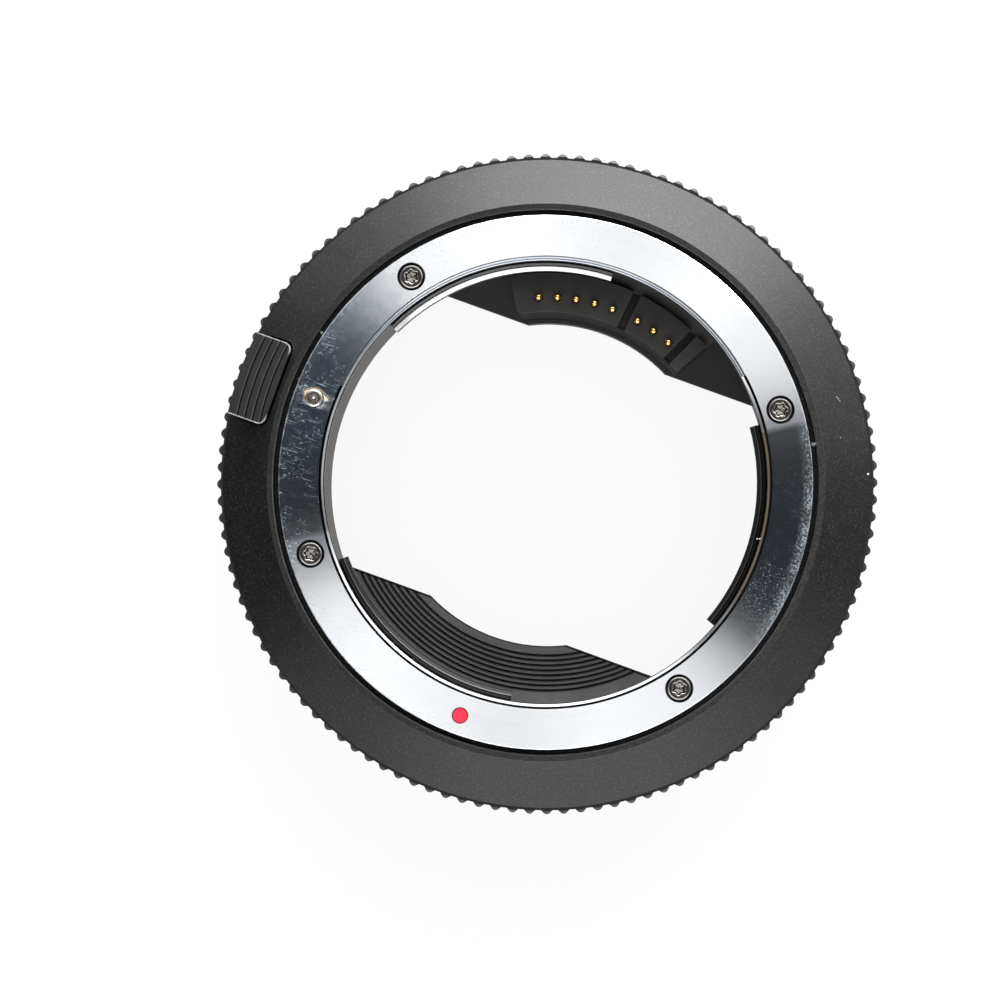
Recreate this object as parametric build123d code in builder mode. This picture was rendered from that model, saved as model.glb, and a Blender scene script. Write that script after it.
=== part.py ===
from build123d import *
import os
from math import cos, radians, sin

os.makedirs("parts", exist_ok=True)

# All sizes are millimetres and degrees. The optical axis is Z, the lens side is up, the origin
# lies at the camera end. Contacts sit at -Y, the red index dot at +Y, lock pin and lever at +X.

# The two mounts and the depth between them
lens_register = 44.0
camera_register = 26.7
bayonet_reach = 5.7
camera_seat_z = bayonet_reach
lens_seat_z = camera_seat_z + lens_register - camera_register

# Clearances
slip = 0.1
screw_slip = 0.03
body_gap = 0.15
moving_gap = 0.3

# Lens ring
throat_r = 26.6
land_w = 0.4
land_drop = 0.1
throat_chamfer = 0.27
lead_in = 0.55
lead_in_start = -132.0
lead_in_sweep = 126.5
lens_ring_r = 32.1
lens_ring_t = 2.0
ring_edge = 0.12
collar_wall = 1.4
tab_reach = 1.1
tab_depth = 1.4
tab_t = 1.8
tab_bevel = 0.6
pilot_above_tabs = 0.2
pilot_relief = 0.5
tab_spans = ((40.5, 60.5), (159.6, 55.4), (272.0, 62.5))
leaf_t = 0.2
leaf_inset = 6.0
pin_circle_r = 29.5
dot_r = 0.975
dot_circle_r = 29.8
dot_depth = 0.4
dot_below = 0.05

# Star recess of every screw, as shares of the head
recess_share = 0.42
lobe_share = 0.3
recess_depth_share = 0.6

# Screws of the lens ring
lens_screw_spread = 37.0
lens_head_r = 1.35
lens_head_t = 0.75
lens_shank_r = 0.8
lens_screw_length = 3.6
lens_head_depth = 0.2
counterbore_r = 1.7

# Front shell: lip, cone, seat plate and the sleeve on which the control ring turns
groove_w = 0.65
lip_w = 0.75
lip_drop = 0.2
lip_edge = 0.1
cone_h = 6.0
cone_step = 0.3
cone_edge = 0.2
seat_plate_t = 2.4
sleeve_r = 36.6
sleeve_wall = 3.0

# Control ring
rib_count = 120
ring_wall = 3.1
rib_height = 0.5
rib_base_share = 0.66
rib_top_share = 0.34
rib_round = 0.13
rib_end_chamfer = 0.35
rib_turn = -0.93
ring_running_fit = 0.1
code_band_w = 2.5
code_band_t = 0.3
code_groove_depth = 0.6
code_band_drop = 0.55
click_count = 60
click_inset = 1.2
click_groove_r = 0.7
click_groove_length = 2.9
ball_r = 0.6
ball_stroke = 0.5
detent_room = 1.5
detent_turns = 4
detent_wire_r = 0.1

# Release lever and lock pin
lever_half_w = 5.2
lever_inner_r = 34.3
lever_step = 0.1
lever_stroke = 2.0
lever_edge_t = 1.3
lever_rise = 0.33
lever_above_ring = 3.0
lever_corner_r = 1.0
lever_rib_first_r = 35.2
lever_rib_pitch = 1.0
lever_rib_count = 4
lever_rib_w = 0.34
lever_rib_depth = 0.26
arm_half_w = 2.5
arm_t = 1.0
neck_t = 1.3
lock_pin_r = 1.05
lock_pin_fit = 0.08
lock_pin_proud = 1.3
lock_pin_round = 0.38
lock_stem_r = 0.5
lock_spring_circle_r = 31.3
lock_spring_r = 1.2
lock_wire_r = 0.15
lock_post_r = 0.9
lock_spring_turns = 9

# Lining tube with the two mask webs
barrel_r = 27.6
barrel_wall = 0.7
barrel_rear_gap = 0.5
mask_half_h = 17.9
mask_r = 20.03
mask_depth = 15.4
web_t = 2.4
trap_edge_t = 1.4
trap_rise = 0.5
trap_first_rib = 1.16
trap_rib_pitch = 0.607
trap_rib_count = 8
trap_rib_w = 0.25
trap_rib_depth = 0.4
ear_angles = (60.0, 150.0, 300.0)
ear_sweep = 12.0
ear_reach = 2.9
ear_t = 1.1
small_head_r = 1.0
small_head_t = 0.6
small_shank_r = 0.6
small_screw_length = 2.5

# Lens contact block and its sprung pins
block_depth = 5.2
block_half_angle = 29.7
block_top_r = 20.9
block_draft = 0.4
block_ledge_r = 25.6
block_ledge_drop = 1.2
block_corner_r = 1.1
block_slot_w = 1.0
block_slot_angles = (264.1, 245.3)
contact_circle_r = 22.64
contact_first = 292.2
contact_pitch = 5.8
contact_gap = 8.5
contact_left_count = 5
contact_count = 8
contact_r = 0.45
contact_fit = 0.07
contact_proud = 1.2
contact_stroke = 1.0
contact_shoulder_r = 0.72
contact_shoulder_t = 0.8
contact_tail_r = 0.3
contact_bore_r = 0.85
contact_bore_top = 1.8
contact_spring_r = 0.58
contact_wire_r = 0.1
contact_spring_turns = 4
block_screw_circle_r = 24.9
block_screw_angles = (250.0, 290.0)
block_screw_length = 5.0

# Circuit board and what sits on it
board_t = 1.0
board_lift = 3.7
board_start = 195.0
board_sweep = 150.0
post_r = 1.3
post_circle_r = 31.0
post_angles = (205.0, 245.0, 335.0)
chip_size = 3.4
chip_t = 0.9
chip_angle = 315.0
sensor_angle = 222.0
sensor_w = 2.4
sensor_h = 1.4
sensor_length = 4.4
sensor_inset = 0.4
flex_w = 7.0
flex_t = 0.15
flex_angle = 270.0
lens_flex_drop = 2.8
lens_flex_reach = 30.5

# Rear body and the camera bayonet
rear_plate_t = 1.6
rear_step = 0.2
rear_taper_w = 0.9
rear_taper_h = 2.0
flange_proud = 0.2
flange_t = 2.0
flange_r = 36.85
tube_r = 32.3
tube_wall = 1.7
tube_chamfer = 0.3
lug_r = 34.2
lug_t = 1.6
lug_lift = 1.0
lug_spans = ((62.0, 56.0), (184.0, 60.0), (304.0, 52.0))
rear_screw_angles = (45.0, 135.0, 225.0, 315.0)
rear_screw_circle_r = 35.1
rear_head_r = 1.3
rear_head_t = 0.85
rear_head_depth = 0.12
rear_shank_r = 0.8
rear_screw_length = 5.6
lock_slot_angle = 200.0
lock_slot_length = 2.8
lock_slot_w = 1.5
lock_slot_depth = 1.4
rear_dot_r = 0.6
rear_dot_depth = 0.35

# Black ring inside the rear tube, with the camera contacts
shield_floor_t = 1.1
shield_wall = 0.7
pad_count = 12
pad_pitch = 5.0
pad_r = 0.55
pad_depth = 0.5
pad_proud = 0.15
rear_block_half_angle = 35.0
rear_block_inset = 0.4

# Heights and radii that follow from the sizes above
ring_seat_z = lens_seat_z - lens_ring_t
tab_top_z = lens_seat_z - tab_depth
tab_bottom_z = tab_top_z - tab_t
pilot_low_z = tab_top_z + pilot_above_tabs
mouth_r = throat_r + land_w + throat_chamfer
seat_under_z = ring_seat_z - seat_plate_t
seat_inner_r = throat_r + collar_wall + slip
groove_r = lens_ring_r + groove_w
lip_r = groove_r + lip_w
lip_z = lens_seat_z - lip_drop
shell_under_z = lip_z - cone_h - cone_edge
sleeve_inner_r = sleeve_r - sleeve_wall
rear_face_z = camera_seat_z + flange_proud
flange_top_z = camera_seat_z + flange_t
plate_top_z = flange_top_z + rear_plate_t
ring_low_z = plate_top_z + body_gap
ring_high_z = shell_under_z - body_gap
ring_inner_r = sleeve_r + ring_running_fit
rib_root_r = ring_inner_r + ring_wall
click_circle_r = ring_inner_r + click_inset
cone_r = rib_root_r - cone_step
lever_outer_r = cone_r - lever_step
rear_edge_r = rib_root_r - rear_step
rear_foot_r = rear_edge_r - rear_taper_w
barrel_outer_r = barrel_r + barrel_wall
barrel_bottom_z = barrel_rear_gap
barrel_top_z = seat_under_z - slip
web_low_z = lens_seat_z - mask_depth
web_high_z = web_low_z + web_t
block_top_z = lens_seat_z - block_depth
block_outer_r = barrel_r - slip
board_low_z = plate_top_z + board_lift
board_high_z = board_low_z + board_t
board_inner_r = barrel_outer_r + moving_gap
board_outer_r = sleeve_inner_r - moving_gap
plate_inner_r = barrel_outer_r + moving_gap
tube_inner_r = tube_r - tube_wall
lens_screw_angles = (
    lens_screw_spread,
    180 - lens_screw_spread,
    180 + lens_screw_spread,
    -lens_screw_spread,
)
contact_angles = [
    contact_first - i * contact_pitch - (contact_gap - contact_pitch) * (i >= contact_left_count)
    for i in range(contact_count)
]

low = (Align.CENTER, Align.CENTER, Align.MIN)
high = (Align.CENTER, Align.CENTER, Align.MAX)


def radial_plane(angle):
    """Upright plane through the optical axis, its x axis pointing outward at this angle."""
    a = radians(angle)
    return Plane(origin=(0, 0, 0), x_dir=(cos(a), sin(a), 0), z_dir=(sin(a), -cos(a), 0))


def spot(radius, angle, z, tilt=0):
    """Place at a radius and angle about the optical axis; a tilt of 180 looks to the camera."""
    a = radians(angle)
    return Location((radius * cos(a), radius * sin(a), z), (tilt, 0, angle))


def section(points, angle=0):
    """Face with these corners, given as radius and height, in the plane at this angle."""
    with BuildSketch(radial_plane(angle)) as face:
        with BuildLine():
            Polyline(*points, close=True)
        make_face()
    return face.sketch


def band(inner_r, outer_r, z_low, z_high):
    """Corners of a plain rectangular section."""
    return [(inner_r, z_low), (outer_r, z_low), (outer_r, z_high), (inner_r, z_high)]


def turned(points, start=0, sweep=360, mode=Mode.ADD):
    """Turn a section about the optical axis."""
    revolve(section(points, start), axis=Axis.Z, revolution_arc=sweep, mode=mode)


def star_screws(places, head_r, head_t, shank_r, length):
    """Screws with a star recess, the underside of each head at its place."""
    recess_r = recess_share * head_r
    lobe_r = lobe_share * recess_r
    recess_depth = recess_depth_share * head_t
    with Locations(*places):
        Cylinder(head_r, head_t, align=low)
        Cylinder(shank_r, length, align=high)
        with Locations((0, 0, head_t)):
            Cylinder(recess_r, recess_depth, align=high, mode=Mode.SUBTRACT)
            with PolarLocations(recess_r, 6):
                Cylinder(lobe_r, recess_depth, align=high, mode=Mode.SUBTRACT)


def coil(radius, wire_r, turns, z_low, z_high):
    """Coil spring about the Z axis, its wire just inside the two heights."""
    rise = z_high - z_low - 2 * wire_r
    with BuildPart() as spring:
        with BuildLine():
            path = Helix(rise / turns, rise, radius, center=(0, 0, z_low + wire_r))
        with BuildSketch(Plane(origin=path @ 0, z_dir=path % 0)):
            RegularPolygon(wire_r, 6)
        sweep(path=path, is_frenet=True)
    return spring.part


# Lens ring: bright turned bayonet ring with three tabs. A chamfer and a land lead into the pilot,
# and below the pilot the wall is a little wider.
with BuildPart() as lens_mount_ring:
    turned(
        [
            (throat_r + pilot_relief, tab_bottom_z),
            (throat_r + collar_wall, tab_bottom_z),
            (throat_r + collar_wall, ring_seat_z),
            (lens_ring_r, ring_seat_z),
            (lens_ring_r, lens_seat_z - ring_edge),
            (lens_ring_r - ring_edge, lens_seat_z),
            (mouth_r, lens_seat_z),
            (throat_r + land_w, lens_seat_z - throat_chamfer),
            (throat_r, lens_seat_z - throat_chamfer - land_drop),
            (throat_r, pilot_low_z),
            (throat_r + pilot_relief, pilot_low_z),
        ]
    )
    # Round part of the throat one straight lead-in takes the place of chamfer and land
    turned(
        [
            (throat_r, lens_seat_z),
            (mouth_r, lens_seat_z),
            (throat_r, lens_seat_z - lead_in),
        ],
        lead_in_start,
        lead_in_sweep,
        Mode.SUBTRACT,
    )
    for tab_start, tab_sweep in tab_spans:
        turned(
            [
                (throat_r - tab_reach, tab_bottom_z),
                (throat_r + collar_wall / 2, tab_bottom_z),
                (throat_r + collar_wall / 2, tab_top_z),
                (throat_r - tab_reach + tab_bevel, tab_top_z),
                (throat_r - tab_reach, tab_top_z - tab_bevel),
            ],
            tab_start,
            tab_sweep,
        )
    with Locations(*[spot(pin_circle_r, a, lens_seat_z) for a in lens_screw_angles]):
        CounterBoreHole(lens_shank_r + slip, counterbore_r, lens_head_depth + lens_head_t, lens_ring_t)
    with Locations(spot(pin_circle_r, 0, lens_seat_z)):
        Hole(lock_pin_r + lock_pin_fit, lens_ring_t)
    with Locations(spot(dot_circle_r, 90, lens_seat_z)):
        Cylinder(dot_r + screw_slip, dot_depth, align=high, mode=Mode.SUBTRACT)
lens_mount_ring.part.label = "lens_mount_ring"
export_step(lens_mount_ring.part, "parts/lens_mount_ring.step")

# Screws of the lens ring, sunk a little below its face
with BuildPart() as lens_ring_screws:
    star_screws(
        [
            spot(pin_circle_r, a, lens_seat_z - lens_head_depth - lens_head_t)
            for a in lens_screw_angles
        ],
        lens_head_r,
        lens_head_t,
        lens_shank_r,
        lens_screw_length,
    )
lens_ring_screws.part.label = "lens_ring_screws"
export_step(lens_ring_screws.part, "parts/lens_ring_screws.step")

# Red index dot, paint in a shallow pit
with BuildPart() as lens_index_dot:
    with Locations(spot(dot_circle_r, 90, lens_seat_z - dot_depth)):
        Cylinder(dot_r, dot_depth - dot_below, align=low)
lens_index_dot.part.label = "lens_index_dot"
export_step(lens_index_dot.part, "parts/lens_index_dot.step")

# Leaf springs behind the tabs, which press on the lens's own lugs
with BuildPart() as bayonet_leaf_springs:
    for tab_start, tab_sweep in tab_spans:
        turned(
            band(throat_r - tab_reach + slip, throat_r - slip, tab_bottom_z - leaf_t, tab_bottom_z),
            tab_start + leaf_inset,
            tab_sweep - 2 * leaf_inset,
        )
bayonet_leaf_springs.part.label = "bayonet_leaf_springs"
export_step(bayonet_leaf_springs.part, "parts/bayonet_leaf_springs.step")

# Front shell: black cone with its lip, the ring's seat and the bearing sleeve
lever_low_z = ring_high_z + lever_above_ring
pocket_floor_z = lever_low_z - lever_stroke - body_gap
arm_high_z = seat_under_z - moving_gap
arm_low_z = arm_high_z - arm_t
with BuildPart() as front_shell:
    turned(
        [
            (groove_r, ring_seat_z),
            (groove_r, lip_z - lip_edge),
            (groove_r + lip_edge, lip_z),
            (lip_r, lip_z),
            (cone_r, lip_z - cone_h),
            (cone_r, shell_under_z),
            (sleeve_r, shell_under_z),
            (sleeve_r, plate_top_z),
            (sleeve_inner_r, plate_top_z),
            (sleeve_inner_r, seat_under_z),
            (seat_inner_r, seat_under_z),
            (seat_inner_r, ring_seat_z),
        ]
    )
    # Pocket for the lever's knob, with rounded inner corners
    with BuildSketch(Plane.XY.offset(pocket_floor_z)) as pocket:
        pocket_x = lever_inner_r - moving_gap
        with Locations((pocket_x, 0)):
            Rectangle(
                cone_r - pocket_x, 2 * (lever_half_w + moving_gap), align=(Align.MIN, Align.CENTER)
            )
        fillet(pocket.vertices().group_by(Axis.X)[0], lever_corner_r + moving_gap)
    extrude(amount=lens_seat_z - pocket_floor_z, mode=Mode.SUBTRACT)
    # Slot in which the lever's neck and arm slide
    slot_low_z = arm_low_z - lever_stroke - moving_gap
    with Locations((sleeve_inner_r - body_gap, 0, slot_low_z)):
        Box(
            lever_inner_r + neck_t + moving_gap - sleeve_inner_r + body_gap,
            2 * (arm_half_w + moving_gap),
            seat_under_z - slot_low_z,
            align=(Align.MIN, Align.CENTER, Align.MIN),
            mode=Mode.SUBTRACT,
        )
    with Locations(spot(pin_circle_r, 0, ring_seat_z)):
        Hole(lock_pin_r + lock_pin_fit, seat_plate_t)
    with Locations(*[spot(pin_circle_r, a, ring_seat_z) for a in lens_screw_angles]):
        Hole(lens_shank_r + screw_slip, seat_plate_t)
    # Blind threads for the long screws that come up from the camera side
    rear_thread_depth = rear_screw_length - (plate_top_z - camera_seat_z - rear_head_depth - rear_head_t)
    with Locations(*[spot(rear_screw_circle_r, a, plate_top_z) for a in rear_screw_angles]):
        Cylinder(
            rear_shank_r + screw_slip, rear_thread_depth + moving_gap, align=low, mode=Mode.SUBTRACT
        )
    # Window through which the sensor reads the control ring
    with Locations(spot(sleeve_r, sensor_angle, board_high_z - moving_gap)):
        Box(
            2 * sleeve_wall + 1,
            sensor_w + 2 * moving_gap,
            sensor_h + 2 * moving_gap,
            align=low,
            mode=Mode.SUBTRACT,
        )
front_shell.part.label = "front_shell"
export_step(front_shell.part, "parts/front_shell.step")

# Release lever: ribbed knob outside, neck and arm inside
lever_top_z = lever_low_z + lever_edge_t
with BuildPart() as release_lever:
    with BuildSketch(Plane.XY.offset(lever_low_z)) as knob:
        with Locations((lever_inner_r, 0)):
            Rectangle(cone_r, 2 * lever_half_w, align=(Align.MIN, Align.CENTER))
        fillet(knob.vertices().group_by(Axis.X)[0], lever_corner_r)
    extrude(amount=lens_seat_z - lever_low_z)
    lever_face = [
        (lever_inner_r, lever_low_z),
        (lever_outer_r, lever_low_z),
        (lever_outer_r, lever_top_z),
        (lever_inner_r, lever_top_z + lever_rise * (lever_outer_r - lever_inner_r)),
    ]
    turned(lever_face, mode=Mode.INTERSECT)
    for i in range(lever_rib_count):
        rib_r = lever_rib_first_r + i * lever_rib_pitch
        rib_z = lever_top_z + lever_rise * (lever_outer_r - rib_r)
        half_w = lever_rib_w / 2
        turned(
            [
                (rib_r - half_w, rib_z + half_w),
                (rib_r + half_w, rib_z + half_w),
                (rib_r + half_w, rib_z - lever_rise * half_w),
                (rib_r - half_w / 2, rib_z - lever_rib_depth),
            ],
            mode=Mode.SUBTRACT,
        )
    with Locations((lever_inner_r, 0, arm_low_z)):
        Box(
            neck_t,
            2 * arm_half_w,
            lever_low_z + lever_edge_t / 2 - arm_low_z,
            align=(Align.MIN, Align.CENTER, Align.MIN),
        )
    arm_end_x = barrel_outer_r + moving_gap
    with Locations((arm_end_x, 0, arm_low_z)):
        Box(
            lever_inner_r + neck_t - arm_end_x,
            2 * arm_half_w,
            arm_t,
            align=(Align.MIN, Align.CENTER, Align.MIN),
        )
    with Locations(spot(pin_circle_r, 0, arm_high_z)):
        Hole(lock_stem_r + screw_slip, arm_t)
release_lever.part.label = "release_lever"
export_step(release_lever.part, "parts/release_lever.step")

# Lock pin: rounded head above the ring's face, stem riveted in the lever's arm
with BuildPart() as lock_pin:
    with Locations(spot(pin_circle_r, 0, arm_high_z)):
        Cylinder(lock_pin_r, lens_seat_z + lock_pin_proud - arm_high_z, align=low)
        Cylinder(lock_stem_r, arm_t, align=high)
    fillet(lock_pin.edges().sort_by(Axis.Z)[-1], lock_pin_round)
lock_pin.part.label = "lock_pin"
export_step(lock_pin.part, "parts/lock_pin.step")

# Spring under the lever's arm, round a post of the rear body
lock_coil = coil(lock_spring_r, lock_wire_r, lock_spring_turns, plate_top_z, arm_low_z)
with BuildPart() as lock_pin_spring:
    with Locations(spot(lock_spring_circle_r, 0, 0)):
        add(lock_coil)
lock_pin_spring.part.label = "lock_pin_spring"
export_step(lock_pin_spring.part, "parts/lock_pin_spring.step")


def rib_outline():
    """Outline of the control ring: rounded ribs round a circle."""
    step = 360 / rib_count
    top_r = rib_root_r + rib_height - rib_round

    def at(radius, angle):
        return (radius * cos(radians(angle)), radius * sin(radians(angle)))

    with BuildSketch() as outline:
        with BuildLine():
            for i in range(rib_count):
                middle = i * step + rib_turn
                foot = rib_base_share * step / 2
                shoulder = rib_top_share * step / 2
                Line(at(rib_root_r, middle - foot), at(top_r, middle - shoulder))
                ThreePointArc(
                    at(top_r, middle - shoulder),
                    at(rib_root_r + rib_height, middle),
                    at(top_r, middle + shoulder),
                )
                Line(at(top_r, middle + shoulder), at(rib_root_r, middle + foot))
                Line(at(rib_root_r, middle + foot), at(rib_root_r, middle + step - foot))
        make_face()
        Circle(ring_inner_r, mode=Mode.SUBTRACT)
    return outline.sketch


# Control ring: knurled outside, click grooves in its rear face, groove for the code band
code_low_z = ring_high_z - code_band_drop - code_band_w
with BuildPart() as control_ring:
    extrude(rib_outline().moved(Location((0, 0, ring_low_z))), amount=ring_high_z - ring_low_z)
    rib_tip_r = rib_root_r + rib_height
    for face_z, inward in ((ring_low_z, 1), (ring_high_z, -1)):
        turned(
            [
                (rib_tip_r - rib_end_chamfer, face_z),
                (rib_tip_r + rib_end_chamfer, face_z),
                (rib_tip_r + rib_end_chamfer, face_z + 2 * inward * rib_end_chamfer),
            ],
            mode=Mode.SUBTRACT,
        )
    turned(
        band(ring_inner_r - slip, ring_inner_r + code_groove_depth, code_low_z, code_low_z + code_band_w),
        mode=Mode.SUBTRACT,
    )
    with PolarLocations(click_circle_r, click_count):
        with Locations(Location((0, 0, plate_top_z), (0, 90, 0))):
            Cylinder(click_groove_r, click_groove_length, mode=Mode.SUBTRACT)
control_ring.part.label = "control_ring"
export_step(control_ring.part, "parts/control_ring.step")

# Code band bonded in the control ring
with BuildPart() as code_band:
    code_outer_r = ring_inner_r + code_groove_depth
    turned(band(code_outer_r - code_band_t, code_outer_r, code_low_z, code_low_z + code_band_w))
code_band.part.label = "code_band"
export_step(code_band.part, "parts/code_band.step")

# Click ball and its spring, in a blind hole of the rear body
ball_hole_r = ball_r + slip
ball_hole_low_z = plate_top_z - ball_r - ball_stroke - detent_room
with BuildPart() as detent_ball:
    with Locations(spot(click_circle_r, 180, plate_top_z)):
        Sphere(ball_r)
detent_ball.part.label = "detent_ball"
export_step(detent_ball.part, "parts/detent_ball.step")

detent_coil = coil(
    ball_r - detent_wire_r, detent_wire_r, detent_turns, ball_hole_low_z, plate_top_z - ball_r
)
with BuildPart() as detent_spring:
    with Locations(spot(click_circle_r, 180, 0)):
        add(detent_coil)
detent_spring.part.label = "detent_spring"
export_step(detent_spring.part, "parts/detent_spring.step")

# Outline of the picture mask: two flat sides and a round relief in the middle of each
with BuildSketch(Plane.XY.offset(web_low_z)) as mask:
    Circle(barrel_r + barrel_wall / 2)
    Rectangle(3 * barrel_r, 2 * mask_half_h, mode=Mode.SUBTRACT)
    Circle(mask_r, mode=Mode.SUBTRACT)

# Ribbed light trap, a slope of round ribs across from the contacts
trap_low_z = web_low_z + trap_edge_t
with BuildPart() as light_trap:
    trap_outer_r = barrel_r + barrel_wall / 2
    turned(
        [
            (mask_half_h, web_low_z),
            (trap_outer_r, web_low_z),
            (trap_outer_r, trap_low_z + trap_rise * (trap_outer_r - mask_r)),
            (mask_r, trap_low_z),
            (mask_half_h, trap_low_z),
        ],
        0,
        180,
    )
    for i in range(trap_rib_count):
        valley_r = mask_r + trap_first_rib + i * trap_rib_pitch
        valley_z = trap_low_z + trap_rise * (valley_r - mask_r)
        half_w = (trap_rib_pitch - trap_rib_w) / 2
        turned(
            [
                (valley_r - half_w, valley_z + half_w),
                (valley_r + half_w, valley_z + half_w),
                (valley_r + half_w, valley_z),
                (valley_r, valley_z - trap_rib_depth),
                (valley_r - half_w, valley_z - trap_rise * half_w),
            ],
            0,
            180,
            Mode.SUBTRACT,
        )
    extrude(mask.sketch, amount=lens_seat_z - web_low_z, mode=Mode.INTERSECT)

# Lining tube with both webs of the mask
with BuildPart() as contact_web:
    extrude(mask.sketch, amount=web_t)
    split(bisect_by=Plane.XZ, keep=Keep.TOP)
lens_flex_z = block_top_z - lens_flex_drop
with BuildPart() as inner_barrel:
    turned(band(barrel_r, barrel_outer_r, barrel_bottom_z, barrel_top_z))
    add(contact_web.part)
    add(light_trap.part)
    for ear_angle in ear_angles:
        turned(
            band(barrel_r + barrel_wall / 2, barrel_outer_r + ear_reach, plate_top_z, plate_top_z + ear_t),
            ear_angle - ear_sweep / 2,
            ear_sweep,
        )
    ear_screw_r = barrel_outer_r + ear_reach - small_head_r - moving_gap
    with Locations(*[spot(ear_screw_r, a, plate_top_z + ear_t) for a in ear_angles]):
        Hole(small_shank_r + slip, ear_t)
    with Locations(spot(barrel_r, flex_angle, lens_flex_z)):
        Box(4 * barrel_wall, flex_w + 2 * moving_gap, flex_t + 2 * moving_gap, mode=Mode.SUBTRACT)
    with Locations(*[spot(block_screw_circle_r, a, web_high_z) for a in block_screw_angles]):
        Hole(small_shank_r + slip, web_t)
inner_barrel.part.label = "inner_barrel"
export_step(inner_barrel.part, "parts/inner_barrel.step")

# Screws that hold the lining tube by its ears
with BuildPart() as barrel_screws:
    star_screws(
        [spot(ear_screw_r, a, plate_top_z + ear_t) for a in ear_angles],
        small_head_r,
        small_head_t,
        small_shank_r,
        small_screw_length,
    )
barrel_screws.part.label = "barrel_screws"
export_step(barrel_screws.part, "parts/barrel_screws.step")

# Lens contact block: a raised sector with a ledge, two slots and eight stepped bores
bore_step_z = block_top_z - contact_bore_top
with BuildPart() as lens_contact_block:
    turned(
        [
            (block_top_r - block_draft, web_high_z),
            (block_outer_r, web_high_z),
            (block_outer_r, block_top_z - block_ledge_drop),
            (block_ledge_r, block_top_z - block_ledge_drop),
            (block_ledge_r, block_top_z),
            (block_top_r, block_top_z),
        ],
        flex_angle - block_half_angle,
        2 * block_half_angle,
    )
    # The corner beside the group of five pins is rounded
    corner = spot(block_top_r, flex_angle + block_half_angle, (web_high_z + block_top_z) / 2).position
    fillet(lens_contact_block.edges().sort_by_distance(corner)[0], block_corner_r)
    for slot_angle in block_slot_angles:
        with Locations(spot(block_ledge_r, slot_angle, block_top_z)):
            Box(
                2 * (block_ledge_r - block_top_r + block_draft),
                block_slot_w,
                2 * block_ledge_drop,
                mode=Mode.SUBTRACT,
            )
    with Locations(*[spot(contact_circle_r, a, block_top_z) for a in contact_angles]):
        Hole(contact_r + contact_fit, block_top_z - web_high_z)
    with Locations(*[spot(contact_circle_r, a, web_high_z) for a in contact_angles]):
        Cylinder(contact_bore_r, bore_step_z - web_high_z, align=low, mode=Mode.SUBTRACT)
    with Locations(*[spot(block_screw_circle_r, a, web_high_z) for a in block_screw_angles]):
        Cylinder(small_shank_r + screw_slip, block_screw_length - web_t, align=low, mode=Mode.SUBTRACT)
lens_contact_block.part.label = "lens_contact_block"
export_step(lens_contact_block.part, "parts/lens_contact_block.step")

# Screws of the contact block, up through the web from the camera side
with BuildPart() as contact_block_screws:
    star_screws(
        [spot(block_screw_circle_r, a, web_low_z, 180) for a in block_screw_angles],
        small_head_r,
        small_head_t,
        small_shank_r,
        block_screw_length - moving_gap,
    )
contact_block_screws.part.label = "contact_block_screws"
export_step(contact_block_screws.part, "parts/contact_block_screws.step")

# Sprung contact pins, each with a shoulder and a tail inside its own spring
shoulder_top_z = bore_step_z - moving_gap
shoulder_low_z = shoulder_top_z - contact_shoulder_t
contact_tip_z = block_top_z + contact_proud
# The tail leaves just the pin's stroke free above the web
tail_length = shoulder_low_z - web_high_z - contact_stroke - moving_gap
contact_coil = coil(contact_spring_r, contact_wire_r, contact_spring_turns, web_high_z, shoulder_low_z)
for number, contact_angle in enumerate(contact_angles, start=1):
    with BuildPart() as contact_pin:
        with Locations(spot(contact_circle_r, contact_angle, 0)):
            with Locations((0, 0, shoulder_low_z)):
                Cylinder(contact_shoulder_r, contact_shoulder_t, align=low)
                Cylinder(contact_tail_r, tail_length, align=high)
                Cylinder(contact_r, contact_tip_z - contact_r - shoulder_low_z, align=low)
            with Locations((0, 0, contact_tip_z - contact_r)):
                Sphere(contact_r)
    contact_pin.part.label = f"contact_pin_{number}"
    export_step(contact_pin.part, f"parts/contact_pin_{number}.step")

    with BuildPart() as contact_spring:
        with Locations(spot(contact_circle_r, contact_angle, 0)):
            add(contact_coil)
    contact_spring.part.label = f"contact_spring_{number}"
    export_step(contact_spring.part, f"parts/contact_spring_{number}.step")

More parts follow.
